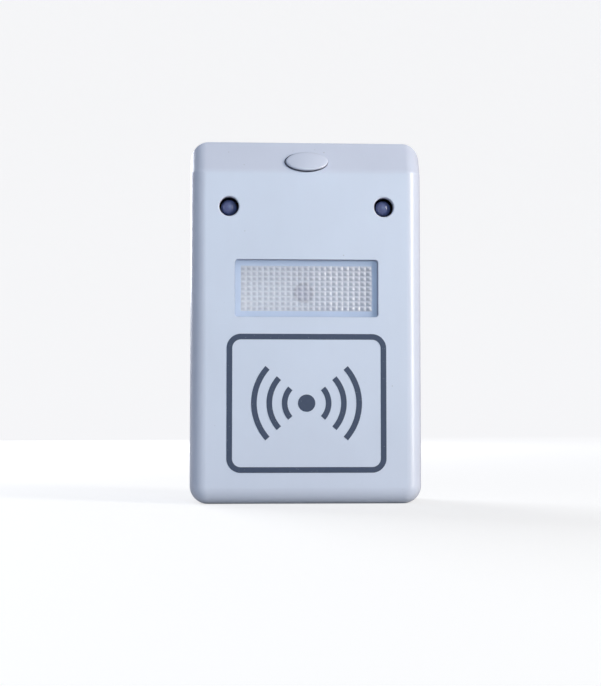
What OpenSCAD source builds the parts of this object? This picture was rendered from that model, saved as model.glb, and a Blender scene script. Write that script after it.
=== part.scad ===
// Plug-in pest repeller with a night light.
// A two-part moulded case holds one circuit board, a pulse coil, an ultrasonic sounder,
// a lit window and a push button. It hangs on a wall socket by its two plug blades.
//
// Origin: on the back face, midway between the blades. +Z is up, +X is right as seen from
// the front, and the front faces -Y. Every module is drawn against the wall, with x to the
// right, y up and z out of the wall, and facing() then turns it upright.

/* [Case] */
// Width of the case
case_w = 70; // [62:1:90]
// Height of the case
case_h = 110; // [104:1:140]
// Depth of the rear cover, from the wall to the parting line
rear_d = 14; // [14:0.5:20]
// Depth of the front cover, from the parting line to the front face
front_d = 24; // [22:0.5:32]
// Thickness of the moulded walls
wall = 2; // [1.6:0.1:2.4]
// Radius of the four upright corners
corner_r = 5.5; // [5:0.5:8]
// Radius that rolls the front face into the sides
front_r = 4.8; // [3:0.2:5]
// Radius around the back face
rear_r = 1.6; // [0.5:0.1:2.5]
// Width and depth of the reveal groove at the parting line
reveal = 0.5; // [0.2:0.1:0.8]

/* [Bevelled top] */
// Height of the sloping strip above the front face
bevel_h = 9.5; // [8:0.5:12]
// How far the slope falls back at the top of the case
bevel_d = 5.5; // [3:0.5:7]
// Radius that softens the fold below the slope
bevel_blend = 4; // [3:1:10]

/* [Push button] */
// Width of the oval cap
button_w = 12.8; // [10:0.2:16]
// Height of the oval cap
button_h = 6.2; // [5.4:0.2:7]
// Distance of the cap's middle above the fold below the slope
button_lift = 2.9; // [2.2:0.1:4.2]
// Height of the cap's crown above the slope
button_proud = 1.5; // [1:0.1:2]
// How far the button travels
button_travel = 1.5; // [0.5:0.1:1.8]
// Running gap around the cap
button_gap = 0.25; // [0.2:0.05:0.5]

/* [Indicator lights] */
// Diameter of the two round holes
led_hole_d = 5.9; // [5.6:0.1:7]
// Distance between the two holes
led_spacing = 46.8; // [40:0.2:50]
// Distance of the holes below the top of the case
led_drop = 20.5; // [18:0.5:24]
// Diameter of a lamp
led_d = 5; // [3:0.1:5]
// Depth of the lamps' tips below the front face
led_recess = 1.3; // [0.5:0.1:3]

/* [Night light window] */
// Width of the window
window_w = 43.3; // [36:0.1:46]
// Height of the window
window_h = 17.4; // [12:0.1:20]
// Distance of the window's middle below the top of the case
window_drop = 45.2; // [42:0.1:48]
// Radius of the window's corners
window_r = 1; // [0.5:0.1:2]
// Depth of the lens below the front face
lens_recess = 1.1; // [0.4:0.1:1.6]
// Thickness of the lens flange behind the wall
lens_t = 1.5; // [1:0.1:2]
// Depth of the reflector behind the lens
reflector_d = 13; // [9:0.5:13]
// Diameter of the reflector's hole for the lamp
reflector_hole_d = 6.4; // [5.6:0.1:8]

/* [Printed emblem] */
// Width of the printed frame
emblem_w = 48; // [40:0.2:54]
// Height of the printed frame
emblem_h = 41.6; // [34:0.2:46]
// Distance of the frame's middle below the top of the case
emblem_drop = 79.8; // [76:0.2:84]
// Width of the printed line
emblem_line = 1.7; // [1:0.1:2.5]
// Outer radius of the frame's corners
emblem_r = 4.3; // [3:0.1:6]

/* [Plug] */
// Distance from the blades' axis to the middle of the case
plug_rise = 12; // [0:1:16]
// Distance between the two blades
blade_spacing = 12.7; // [12.7]
// Width of a blade
blade_w = 6.35; // [6.1:0.05:6.6]
// Thickness of a blade
blade_t = 1.52; // [1.4:0.02:1.6]
// Length of a blade outside the case
blade_l = 17; // [15.9:0.1:18.2]
// Diameter of the hole through a blade
blade_hole_d = 3.96; // [3:0.02:4]
// Distance of that hole from the back face
blade_hole_at = 11.7; // [9:0.1:12]

/* [Circuit board] */
// Thickness of the board
board_t = 1.6; // [1:0.1:1.8]
// Distance of the board's front face in front of the parting line
board_step = 2; // [2:0.1:3]
// Height of the bare wall below the board, which leaves room for the sounder
board_lift = 15; // [15:0.5:20]

/* [Sounder] */
// Diameter of the sounder
sounder_d = 16; // [12:0.5:17]
// Depth of the sounder
sounder_l = 7.5; // [6:0.5:9]
// Width of a slot in the bottom wall
slot_w = 1.4; // [0.8:0.1:1.8]

/* [Hidden] */
$fn = 64;
far = 200;              // longer than anything in the model
cut = 0.5;              // how far a cutting solid runs past a face
fit = 0.15;             // gap between pieces that are assembled by hand
snug = 0.1;             // gap between small pieces that locate each other
root = 0.5;             // how far a rib or post is rooted in a wall

shell_white = "#e4e9f2";
lens_clear = "#c9d2e4";
reflector_white = "#f0f1f4";
ink = "#454c66";
board_tan = "#b08a4e";
brass = "#c9a552";
plated = "#c9cbd0";
black = "#26262a";

// Case
case_d = rear_d + front_d;
case_mid = -plug_rise;
case_top = case_mid + case_h / 2;
case_bottom = case_mid - case_h / 2;
front_inside = case_d - wall;
bevel_angle = atan(bevel_d / bevel_h);
bevel_foot = case_top - bevel_h;
blend_steps = 4;

// Rear cover's lip, which centres the front cover
lip_t = 0.9;
lip_h = 1.6;
lip_root = 3;
lip_in = wall + fit + lip_t;
least_roll = 0.3;       // smallest radius left inside a rolled edge

// Screw posts in the case's corners
post_r = 3.5;
rear_post_r = 4.2;
post_gap = 0.45;        // room between a front post and the lip
post_in = lip_in + post_gap + post_r;
post_x = case_w / 2 - post_in;
post_ys = [case_bottom + post_in, case_top - post_in];
cover_screw = [1.25, 2.6, 2.2, 12];     // shank radius, head radius, head height, shank length
cover_head_z = rear_d - 4;
counterbore_r = 3;

// Circuit board
board_z = rear_d + board_step;
board_back = board_z - board_t;
board_gap = 0.95;       // room between the board and the lip
board_w = case_w - 2 * (lip_in + board_gap);
board_bottom = case_bottom + board_lift;
button_y = bevel_foot + button_lift;
led_y = case_top - led_drop;
window_y = case_top - window_drop;
board_shoulder = led_y + 4.5;           // the board narrows to its tongue above the lamps
tongue_w = 40;
tongue_gap = 0.5;       // room beside the board's tongue in the rear cover's lip
board_screw = [1.15, 2.2, 1.7, 8];      // as cover_screw
board_post_r = 2.8;
board_post_in = 3.5;    // from the board's edge to its screws
board_post_x = board_w / 2 - board_post_in;
board_post_ys = [board_bottom + board_post_in + root, window_y + window_h / 2 + board_post_r + 2];
lead_r = 0.35;
lead_hole_r = 0.5;
lead_tail = 1.2;

// Push button and the switch behind it
slope_y = bevel_d / bevel_h;
slope_at_button = case_d - (button_y - bevel_foot) * slope_y;
cap_radius = 30;        // of the crown
skirt_l = 3;            // how far the cap's oval side runs on behind the wall
ear_w = 16.4;
ear_h = button_h - 1;
ear_t = 1;
ear_gap = 0.3;
stem_d = 5.4;
socket_d = 2.5;
stem_rest = 1;          // gap left below the stem when the button is pressed
plunger_w = 3.2;
plunger_flange_w = 4.2;
plunger_flange_t = 1;
spring_r = 1.55;
spring_wire_r = 0.2;
spring_pressed = 2.8;   // length of the spring when the button is pressed
switch_wall = 0.8;
switch_w = button_h;
switch_h = 2 * switch_wall + plunger_flange_t + snug + button_travel + spring_pressed;
flange_z = board_z + switch_h - switch_wall - snug - plunger_flange_t;
plunger_top = board_z + switch_h + button_travel + stem_rest + socket_d;
pin_pitch = 4;
tongue_top = button_y + switch_w / 2 + snug;

// Lamps
led_l = 8.6;
led_flange_r = led_d / 2 + 0.4;
led_flange_t = 1;
led_pitch = 2.54;
led_lead_w = 0.5;
led_base = case_d - led_recess - led_l;
spacer_r = led_flange_r;
spacer_bore_r = 1.9;
rim_chamfer = 0.25;

// Night light
lens_flange = 1.6;
lens_w = window_w + 2 * lens_flange;
lens_h = window_h + 2 * lens_flange;
lens_back = front_inside - lens_t;
reflector_wall = 1.2;
reflector_gap = 2 * fit;
reflector_taper = 5;
reflector_floor = lens_back - reflector_d;
leg_r = 1.5;
frame_rib = 1.2;
frame_rib_h = 3;

// Plug
pad_h = 3;
pad_size = [40, 14];
pad_top = wall + pad_h;
shoulder_w = 9.5;
shoulder_t = 2;
tab_top = pad_top + 6.4;
retainer_t = 2.6;
retainer_size = [36, 12];
retainer_screw = [1.15, 2.2, 1.6, 6.2]; // as cover_screw
retainer_screw_x = 14.5;
wire_r = 0.9;
label_size = [34, 24];
label_t = 0.15;
label_y = case_mid - plug_rise - label_size.y / 2;

// Sounder, with its axis upright over the slots
sounder_r = sounder_d / 2;
sounder_wall = 0.8;
collar_gap = fit;
collar_t = 1.1;
collar_h = 4.5;
sounder_z = rear_d + lip_h + 0.4 + sounder_r + collar_gap + collar_t;
sounder_mouth = case_bottom + wall + 0.2;
slot_pitch = 2.6;
grille_r = sounder_r - 1.5;             // circle that holds the slots
piezo_depth = 3;
piezo_t = 0.4;
ceramic_t = 0.25;

// Parts on the board: where each stands and how large it is
coil_at = [-board_w / 2 + 13.5, board_bottom + 18];
coil_r = 8;
coil_h = 15;
coil_flange = 1.2;
coil_pin_in = 1.5;      // from the flange's rim to its pins
hub_r = 4.2;
core_r = 3;
core_proud = 1;         // how far the core stands out of the bobbin
film_at = [11, board_bottom + 29.5];
film_size = [18, 8.5, 14];
film_pitch = 15;
can_ats = [[7, board_bottom + 15], [19, board_bottom + 17]];
can_rs = [5, 4];
can_hs = [16, 12];
can_pitch = 5;
varistor_at = [-9, board_bottom + 31.5];
varistor_r = 5;
varistor_t = 4;
varistor_pitch = 7.5;
fuse_at = [-21, board_bottom + 33];
fuse_r = 4.2;
fuse_h = 8;
fuse_pitch = 5;
triac_at = [-3, board_bottom + 6];
triac_size = [10, 4.5, 9];
triac_tab = [10, 1.3, 15];
triac_pitch = 2.54;
chip_at = [0, led_y - 5.5];
chip_size = [9.6, 6.4, 3.3];
chip_pitch = 2.54;
chip_row = 7.62;
diode = [1.35, 5.2, 10];                // body radius, body length, lead pitch
diode_ats = [for (x = [-17, -10, 10, 17]) [x, window_y]];
resistor = [1.2, 6.3, 10];              // as diode
resistor_ats = [for (x = [-12, -8.5, 8.5, 12]) [x, led_y + 2]];

// Where the leads pass through the board
function pair(at, pitch) = [[at.x - pitch / 2, at.y], [at.x + pitch / 2, at.y]];
function upright_pair(at, pitch) = [[at.x, at.y - pitch / 2], [at.x, at.y + pitch / 2]];
function flat(lists) = [for (list = lists) for (item = list) item];
led_ats = [[-led_spacing / 2, led_y], [led_spacing / 2, led_y], [0, window_y]];
led_leads_at = flat([for (at = led_ats) pair(at, led_pitch)]);
axial_leads_at = flat(concat(
    [for (at = diode_ats) upright_pair(at, diode[2])],
    [for (at = resistor_ats) upright_pair(at, resistor[2])]
));
coil_pins_at = pair(coil_at, 2 * (coil_r - coil_pin_in));
block_leads_at = flat([
    pair(film_at, film_pitch), pair(varistor_at, varistor_pitch), pair(fuse_at, fuse_pitch),
    coil_pins_at, pair(can_ats[0], can_pitch), pair(can_ats[1], can_pitch)
]);
triac_leads_at = [for (i = [-1:1]) [triac_at.x + i * triac_pitch, triac_at.y]];
chip_leads_at = [
    for (i = [-1.5:1:1.5], side = [-1, 1])
        [chip_at.x + i * chip_pitch, chip_at.y + side * chip_row / 2]
];
switch_pins_at = pair([0, button_y], pin_pitch);
drilled = concat(
    led_leads_at, axial_leads_at, block_leads_at, triac_leads_at, chip_leads_at, switch_pins_at
);

// ---- Shapes shared by several parts ----

// Turns what was drawn against the wall so that the front faces -Y and y points up
module facing() {
    rotate([90, 0, 0]) children();
}

// Repeats what is drawn on the right-hand side on the left
module both_sides() {
    for (side = [0, 1]) mirror([side, 0, 0]) children();
}

// Section through a rolled edge: x runs out to the side wall and y up to the face
module edge_section(reach, depth, edge) {
    difference() {
        square([reach, depth]);
        translate([reach - edge, depth - edge]) difference() {
            square(2 * edge);
            circle(edge);
        }
    }
}

// Rounded block whose upper face rolls into its sides
module pillow(w, h, depth, corner, edge) {
    half_x = w / 2 - corner;
    half_y = h / 2 - corner;
    translate([-half_x, -half_y, 0]) cube([2 * half_x, 2 * half_y, depth]);
    both_sides() for (end = [0, 1]) mirror([0, end, 0]) translate([half_x, half_y, 0])
        rotate_extrude(angle = 90) edge_section(corner, depth, edge);
    both_sides() translate([half_x, half_y, 0]) rotate([90, 0, 0])
        linear_extrude(2 * half_y) edge_section(corner, depth, edge);
    for (end = [0, 1]) mirror([0, end, 0]) translate([-half_x, half_y, 0]) rotate([90, 0, 90])
        linear_extrude(2 * half_x) edge_section(corner, depth, edge);
}

// Plate with rounded corners, in the middle of the case's outline
module plate(w, h, depth, corner) {
    translate([-w / 2, corner - h / 2, 0]) cube([w, h - 2 * corner, depth]);
    translate([corner - w / 2, -h / 2, 0]) cube([w - 2 * corner, h, depth]);
    both_sides() for (end = [-1, 1])
        translate([w / 2 - corner, end * (h / 2 - corner), 0]) cylinder(r = corner, h = depth);
}

// The case's outline drawn in by inset
module outline_plate(inset, depth) {
    translate([0, case_mid, 0])
        plate(case_w - 2 * inset, case_h - 2 * inset, depth, corner_r - inset);
}

// Endless slab whose face leans back by angle, touching the blend between front and slope.
// It is a little wider than the case, so that their sides and rolled edges cross cleanly.
module leaning_slab(angle, inset) {
    aside = 0.05;
    fold = bevel_blend * tan(bevel_angle / 2);
    touch_y = bevel_foot - fold + bevel_blend * sin(angle);
    touch_z = case_d - bevel_blend + bevel_blend * cos(angle);
    translate([0, touch_y, touch_z]) rotate([-angle, 0, 0]) translate([0, far, -inset - far])
        rotate([90, 0, 0]) both_sides()
            linear_extrude(2 * far) edge_section(case_w / 2 - inset + aside, far, front_r - inset);
}

// What lies outside the case's rounded upper corners
module above_top(inset) {
    corner = corner_r - inset;
    top = case_top - inset;
    half = case_w / 2 - inset - corner;
    difference() {
        translate([-case_w, top - corner, 0]) cube([2 * case_w, far / 4, far]);
        translate([-half, top - corner - cut, -cut]) cube([2 * half, corner + cut, far + 2 * cut]);
        both_sides() translate([half, top - corner, -cut]) cylinder(r = corner, h = far + 2 * cut);
    }
}

// Solid form of the front cover, drawn in by inset, from the parting line forwards.
// The fold below the slope is rounded in steps.
module front_form(inset, steps) {
    past_top = 10;
    difference() {
        intersection() {
            translate([0, case_mid + past_top / 2, rear_d]) pillow(
                case_w - 2 * inset, case_h - 2 * inset + past_top, front_d - inset,
                corner_r - inset, front_r - inset
            );
            intersection_for (step = [1:steps]) leaning_slab(bevel_angle * step / steps, inset);
        }
        above_top(inset);
    }
}

// Solid form of the rear cover, drawn in by inset, with its rolled edge against the wall
module rear_form(inset) {
    translate([0, case_mid, rear_d]) mirror([0, 0, 1]) pillow(
        case_w - 2 * inset, case_h - 2 * inset, rear_d - inset,
        corner_r - inset, max(rear_r - inset, least_roll)
    );
}

// Everything behind the plane parallel to the slope, raised by lift along the wall's normal
module below_slope(lift) {
    translate([0, button_y, slope_at_button + lift]) rotate([-bevel_angle, 0, 0])
        translate([-far / 2, -far / 2, -far]) cube([far, far, far]);
}

// Oval prism along z
module oval(w, h, depth) {
    steps = 72;
    linear_extrude(depth)
        polygon([for (i = [0:steps - 1]) [w / 2 * cos(i * 360 / steps), h / 2 * sin(i * 360 / steps)]]);
}

// Block with its lower face at z = 0, in the middle of x and y
module block(size) {
    translate([-size.x / 2, -size.y / 2, 0]) cube(size);
}

// Places a copy at each of the case's four screw posts
module at_corner_posts() {
    both_sides() for (y = post_ys) translate([post_x, y, 0]) children();
}

// Places a copy at each of the board's four screw posts
module at_board_posts() {
    both_sides() for (y = board_post_ys) translate([board_post_x, y, 0]) children();
}

// Screw with its head behind z = 0 and its shank running forwards; size is
// [shank radius, head radius, head height, shank length]
module screw(size) {
    slot_depth = size[2] / 2;
    slot_width = 0.6;
    difference() {
        union() {
            translate([0, 0, -size[2]]) cylinder(r = size[1], h = size[2]);
            translate([0, 0, -cut]) cylinder(r = size[0], h = size[3] + cut);
        }
        for (turn = [0, 90]) rotate([0, 0, turn])
            translate([-size[1] * 0.65, -slot_width / 2, -size[2] - cut])
                cube([size[1] * 1.3, slot_width, slot_depth + cut]);
    }
}

// Straight-sided tray or block that narrows from [w1, h1] at z1 to [w2, h2] at z2
module tapered(size1, z1, size2, z2) {
    intersection() {
        translate([0, far / 2, 0]) rotate([90, 0, 0]) linear_extrude(far) polygon([
            [-size1.x / 2, z1], [size1.x / 2, z1], [size2.x / 2, z2], [-size2.x / 2, z2]
        ]);
        translate([-far / 2, 0, 0]) rotate([90, 0, 90]) linear_extrude(far) polygon([
            [-size1.y / 2, z1], [size1.y / 2, z1], [size2.y / 2, z2], [-size2.y / 2, z2]
        ]);
    }
}

// ---- Tubes swept along a curve ----

function unit(v) = v / norm(v);
function bezier(p, t) =
    pow(1 - t, 3) * p[0] + 3 * pow(1 - t, 2) * t * p[1] + 3 * (1 - t) * t * t * p[2] + pow(t, 3) * p[3];
// Curve from p[0] to p[3], with a short straight stub at each end so that its ends lie flat
function curve(p, steps) = let (
    stub = 0.3,
    start = p[0] + stub * unit(p[1] - p[0]),
    finish = p[3] - stub * unit(p[3] - p[2])
) concat([p[0]], [for (i = [0:steps]) bezier([start, p[1], p[2], finish], i / steps)], [p[3]]);
function heading(path, i) =
    i == 0 ? unit(path[1] - path[0])
    : i == len(path) - 1 ? unit(path[i] - path[i - 1])
    : unit(path[i + 1] - path[i - 1]);
function level(v, along) = unit(v - (v * along) * along);
function sideways(path) = [
    for (i = 0, v = level([0.31, 0.59, 0.74], heading(path, 0)); i < len(path);
         i = i + 1, v = i < len(path) ? level(v, heading(path, i)) : v) v
];

// Round tube of radius r along the points of path
module swept(path, r, sides) {
    across = sideways(path);
    points = [
        for (i = [0:len(path) - 1]) let (up = cross(heading(path, i), across[i]))
            for (j = [0:sides - 1]) let (a = j * 360 / sides)
                path[i] + r * (cos(a) * across[i] + sin(a) * up)
    ];
    last = (len(path) - 1) * sides;
    faces = concat(
        [[for (j = [0:sides - 1]) j]],
        [for (i = [0:len(path) - 2], j = [0:sides - 1]) let (next = (j + 1) % sides)
            [i * sides + j, (i + 1) * sides + j, (i + 1) * sides + next, i * sides + next]],
        [[for (j = [sides - 1:-1:0]) last + j]]
    );
    polyhedron(points = points, faces = faces, convexity = 4);
}

// ---- Case ----

// Everything cut through the front cover's outer wall
module front_openings() {
    translate([0, button_y, board_z]) oval(button_w + 2 * button_gap, button_h + 2 * button_gap, far);
    both_sides() translate([led_spacing / 2, led_y, front_inside - cut]) {
        cylinder(d = led_hole_d, h = wall + 2 * cut);
        translate([0, 0, cut + wall - rim_chamfer])
            cylinder(d1 = led_hole_d, d2 = led_hole_d + 2 * (rim_chamfer + cut), h = rim_chamfer + cut);
    }
    translate([0, window_y, front_inside - cut]) plate(window_w, window_h, wall + 2 * cut, window_r);
    for (i = [-2:2]) let (length = 2 * sqrt(pow(grille_r, 2) - pow(i * slot_pitch, 2)))
        translate([i * slot_pitch - slot_w / 2, case_bottom - cut, sounder_z - length / 2])
            cube([slot_w, wall + 2 * cut, length]);
}

// Posts, ribs and the sounder's collar inside the front cover
module front_inner_parts() {
    at_corner_posts() translate([0, 0, rear_d]) cylinder(r = post_r, h = front_d);
    at_board_posts() translate([0, 0, board_z]) cylinder(r = board_post_r, h = front_d);
    translate([0, window_y, front_inside - frame_rib_h]) difference() {
        block([lens_w + 2 * (fit + frame_rib), lens_h + 2 * (fit + frame_rib), frame_rib_h + root]);
        translate([0, 0, -cut]) block([lens_w + 2 * fit, lens_h + 2 * fit, frame_rib_h + root + 2 * cut]);
    }
    translate([0, case_bottom + wall - root, sounder_z]) rotate([-90, 0, 0]) difference() {
        cylinder(r = sounder_r + collar_gap + collar_t, h = collar_h + root);
        translate([0, 0, -cut]) cylinder(r = sounder_r + collar_gap, h = collar_h + root + 2 * cut);
    }
}

module front_cover() {
    color(shell_white) facing() difference() {
        union() {
            difference() {
                front_form(0, blend_steps);
                front_form(wall, 1);
            }
            intersection() {
                front_inner_parts();
                front_form(wall / 2, 1);
            }
        }
        front_openings();
        at_corner_posts() translate([0, 0, rear_d - cut])
            cylinder(r = cover_screw[0] + snug, h = cover_screw[3] + cut);
        at_board_posts() translate([0, 0, board_z - cut])
            cylinder(r = board_screw[0] + snug, h = board_screw[3] + cut);
    }
}

module rear_cover() {
    color(shell_white) facing() difference() {
        union() {
            difference() {
                rear_form(0);
                rear_form(wall);
                translate([0, 0, rear_d - reveal]) difference() {
                    outline_plate(-1, reveal + cut);
                    translate([0, 0, -cut]) outline_plate(reveal, reveal + 3 * cut);
                }
            }
            difference() {
                translate([0, 0, rear_d - lip_root]) outline_plate(wall - root, lip_root - reveal - snug);
                translate([0, 0, rear_d - lip_root - cut]) outline_plate(lip_in, lip_root + 2 * cut);
            }
            difference() {
                translate([0, 0, rear_d - lip_root]) outline_plate(wall + fit, lip_root + lip_h);
                translate([0, 0, rear_d - lip_root - cut])
                    outline_plate(lip_in, lip_root + lip_h + 2 * cut);
                translate([0, case_top - lip_in, rear_d])
                    block([tongue_w + 2 * tongue_gap, 2 * lip_in, lip_h + cut]);
            }
            at_corner_posts() translate([0, 0, wall - root])
                cylinder(r = rear_post_r, h = rear_d - wall + root);
            translate([0, 0, wall - root]) block([pad_size.x, pad_size.y, pad_h + root]);
        }
        at_corner_posts() {
            translate([0, 0, -cut]) cylinder(r = counterbore_r, h = cover_head_z + cut);
            cylinder(r = cover_screw[0] + fit, h = rear_d + cut);
        }
        both_sides() translate([blade_spacing / 2, 0, -cut]) {
            block([blade_t + 2 * fit, blade_w + 2 * fit, far / 4]);
            translate([0, 0, cut + pad_top - shoulder_t])
                block([blade_t + 2 * fit, shoulder_w + 2 * fit, shoulder_t + cut]);
        }
        both_sides() translate([retainer_screw_x, 0, pad_top + retainer_t - retainer_screw[3]])
            cylinder(r = retainer_screw[0] + snug, h = far / 4);
        translate([0, label_y, -cut]) block([label_size.x + fit, label_size.y + fit, label_t + cut]);
    }
}

module rating_label() {
    corner = 1.5;
    color("#f4f5f7") facing() translate([0, label_y, 0]) plate(label_size.x, label_size.y, label_t, corner);
}

module cover_screws() {
    color(plated) facing() at_corner_posts() translate([0, 0, cover_head_z]) screw(cover_screw);
}

// ---- Window ----

module night_light_lens() {
    color(lens_clear, 0.5) facing() translate([0, window_y, lens_back]) {
        block([lens_w, lens_h, lens_t]);
        plate(window_w - 2 * fit, window_h - 2 * fit, lens_t + wall - lens_recess, window_r - fit);
    }
}

module light_reflector() {
    floor_size = [lens_w - 2 * reflector_taper, lens_h - 2 * reflector_taper];
    rim = [lens_w - 2 * reflector_gap, lens_h - 2 * reflector_gap];
    inner = 2 * reflector_wall * [1, 1];
    flare = 0.5 * [1, 1];               // widens the tray's mouth as it cuts through the rim
    color(reflector_white) facing() translate([0, window_y, 0]) difference() {
        union() {
            tapered(floor_size, reflector_floor, rim, lens_back);
            translate([0, 0, lens_back - reflector_wall]) block([rim.x, rim.y, reflector_wall]);
            both_sides() for (end = [-1, 1])
                translate([rim.x / 2 - leg_r, end * (rim.y / 2 - leg_r), board_z])
                    cylinder(r = leg_r, h = lens_back - board_z - reflector_wall / 2);
        }
        tapered(
            floor_size - inner, reflector_floor + reflector_wall,
            rim - inner + flare, lens_back + cut
        );
        translate([0, 0, reflector_floor - cut])
            cylinder(d = reflector_hole_d, h = reflector_wall + 2 * cut);
    }
}

// ---- Printed emblem: a frame around a dot with sound waves on both sides ----

module emblem_arc(radius, half_angle) {
    difference() {
        circle(radius + emblem_line / 2);
        circle(radius - emblem_line / 2);
        for (side = [-1, 1]) rotate(side * half_angle)
            translate([-far / 2, side > 0 ? 0 : -far]) square([far, far]);
        translate([-far, -far / 2]) square([far, far]);
    }
}

module printed_emblem() {
    print_t = 0.06;
    dot_r = 2.6;
    waves = [6.6, 11.2, 15.8];
    half_angle = 42;
    color(ink) facing() translate([0, case_top - emblem_drop, case_d]) {
        difference() {
            plate(emblem_w, emblem_h, print_t, emblem_r);
            translate([0, 0, -cut]) plate(
                emblem_w - 2 * emblem_line, emblem_h - 2 * emblem_line, print_t + 2 * cut,
                emblem_r - emblem_line
            );
        }
        cylinder(r = dot_r, h = print_t);
        both_sides() for (radius = waves) linear_extrude(print_t) emblem_arc(radius, half_angle);
    }
}

// ---- Push button ----

module button_cap() {
    stem_bottom = plunger_top - socket_d;
    skirt_bottom = slope_at_button - wall - skirt_l;
    socket_w = plunger_w + 2 * snug;
    color(shell_white) facing() difference() {
        union() {
            translate([0, button_y, 0]) intersection() {
                translate([0, 0, skirt_bottom]) oval(button_w, button_h, far / 4);
                translate([0, 0, slope_at_button]) rotate([-bevel_angle, 0, 0])
                    translate([0, 0, button_proud - cap_radius]) sphere(cap_radius);
            }
            intersection() {
                translate([0, button_y, board_z]) block([ear_w, ear_h, far / 4]);
                below_slope(-(wall + ear_gap) / cos(bevel_angle));
                translate([0, 0, ear_t]) difference() {
                    translate([-far / 2, -far / 2, 0]) cube(far);
                    below_slope(-(wall + ear_gap + 2 * ear_t) / cos(bevel_angle));
                }
            }
            translate([0, button_y, stem_bottom])
                cylinder(d = stem_d, h = skirt_bottom + skirt_l / 2 - stem_bottom);
        }
        translate([0, button_y, stem_bottom - cut]) block([socket_w, socket_w, socket_d + cut]);
    }
}

module switch_body() {
    chamber = plunger_flange_w + 2 * snug;
    neck = plunger_w + 2 * snug;
    color(black) facing() translate([0, button_y, board_z]) difference() {
        block([switch_w, switch_w, switch_h]);
        translate([0, 0, switch_wall]) block([chamber, chamber, switch_h - 2 * switch_wall]);
        translate([0, 0, switch_h / 2]) block([neck, neck, switch_h]);
    }
}

module switch_plunger() {
    color("#e8e8e8") facing() translate([0, button_y, 0]) {
        translate([0, 0, flange_z]) block([plunger_w, plunger_w, plunger_top - flange_z]);
        translate([0, 0, flange_z]) block([plunger_flange_w, plunger_flange_w, plunger_flange_t]);
    }
}

module switch_spring() {
    turns = 4;
    steps = 14;
    play = 0.02;
    low = board_z + switch_wall + spring_wire_r;
    high = flange_z - spring_wire_r - play;
    path = [for (i = [0:steps * turns]) let (a = i * 360 / steps) [
        spring_r * cos(a), button_y + spring_r * sin(a), low + (high - low) * i / (steps * turns)
    ]];
    color(plated) facing() swept(path, spring_wire_r, 6);
}

module switch_pins() {
    color(plated) facing() for (at = switch_pins_at)
        translate([at.x, at.y, board_back - lead_tail]) cylinder(r = lead_r, h = board_t + lead_tail);
}

// ---- Lamps ----

module led(at, base) {
    facing() translate([at.x, at.y, base]) {
        cylinder(r = led_flange_r, h = led_flange_t);
        cylinder(d = led_d, h = led_l - led_d / 2);
        translate([0, 0, led_l - led_d / 2]) sphere(d = led_d);
    }
}

module power_led() {
    color("#c8ccd8") led(led_ats[0], led_base);
}

module pulse_led() {
    color("#c8ccd8") led(led_ats[1], led_base);
}

module night_light_led() {
    color("#dfe4ee") led(led_ats[2], board_z);
}

module led_leads() {
    color(plated) facing() for (i = [0:len(led_ats) - 1]) for (at = pair(led_ats[i], led_pitch))
        translate([at.x, at.y, board_back - lead_tail])
            block([led_lead_w, led_lead_w, (i < 2 ? led_base : board_z) - board_back + lead_tail]);
}

module led_spacers() {
    color("#e9e9e4") facing() for (i = [0, 1])
        translate([led_ats[i].x, led_ats[i].y, board_z]) difference() {
            cylinder(r = spacer_r, h = led_base - board_z);
            translate([0, 0, -cut]) cylinder(r = spacer_bore_r, h = led_base - board_z + 2 * cut);
        }
}

// ---- Circuit board and what stands on it ----

module circuit_board() {
    color(board_tan) facing() difference() {
        union() {
            translate([-board_w / 2, board_bottom, board_back])
                cube([board_w, board_shoulder - board_bottom, board_t]);
            translate([-tongue_w / 2, board_bottom, board_back])
                cube([tongue_w, tongue_top - board_bottom, board_t]);
        }
        for (at = drilled) translate([at.x, at.y, board_back - cut])
            cylinder(r = lead_hole_r, h = board_t + 2 * cut, $fn = 24);
        at_board_posts() translate([0, 0, board_back - cut])
            cylinder(r = board_screw[0] + fit, h = board_t + 2 * cut);
    }
}

module solder_joints() {
    joint_r = 0.95;
    joint_h = 0.8;
    bore_r = lead_r + 0.06;
    color("#d5d7da") facing() for (at = drilled) translate([at.x, at.y, board_back]) mirror([0, 0, 1])
        difference() {
            cylinder(r1 = joint_r, r2 = lead_hole_r, h = joint_h);
            translate([0, 0, -cut]) cylinder(r = bore_r, h = joint_h + 2 * cut);
        }
}

module board_screws() {
    color(plated) facing() at_board_posts() translate([0, 0, board_back]) screw(board_screw);
}

// Lead from below the board up to height above it
module lead(at, height) {
    translate([at.x, at.y, board_back - lead_tail])
        cylinder(r = lead_r, h = board_t + lead_tail + height);
}

// Part with a round body along y and a lead at each end; size is [radius, length, lead pitch]
module axial_part(at, size) {
    facing() {
        translate([at.x, at.y + size[1] / 2, board_z + size[0]]) rotate([90, 0, 0])
            cylinder(r = size[0], h = size[1]);
        translate([at.x, at.y + size[2] / 2 + lead_r, board_z + size[0]]) rotate([90, 0, 0])
            cylinder(r = lead_r, h = size[2] + 2 * lead_r);
        for (end = upright_pair(at, size[2])) lead(end, size[0]);
    }
}

module rectifier_diodes() {
    color(black) for (at = diode_ats) axial_part(at, diode);
}

module resistors() {
    color("#c9b48a") for (at = resistor_ats) axial_part(at, resistor);
}

module film_capacitor() {
    color("#d9b53f") facing() {
        translate([film_at.x, film_at.y, board_z]) block(film_size);
        for (at = pair(film_at, film_pitch)) lead(at, root);
    }
}

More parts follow.
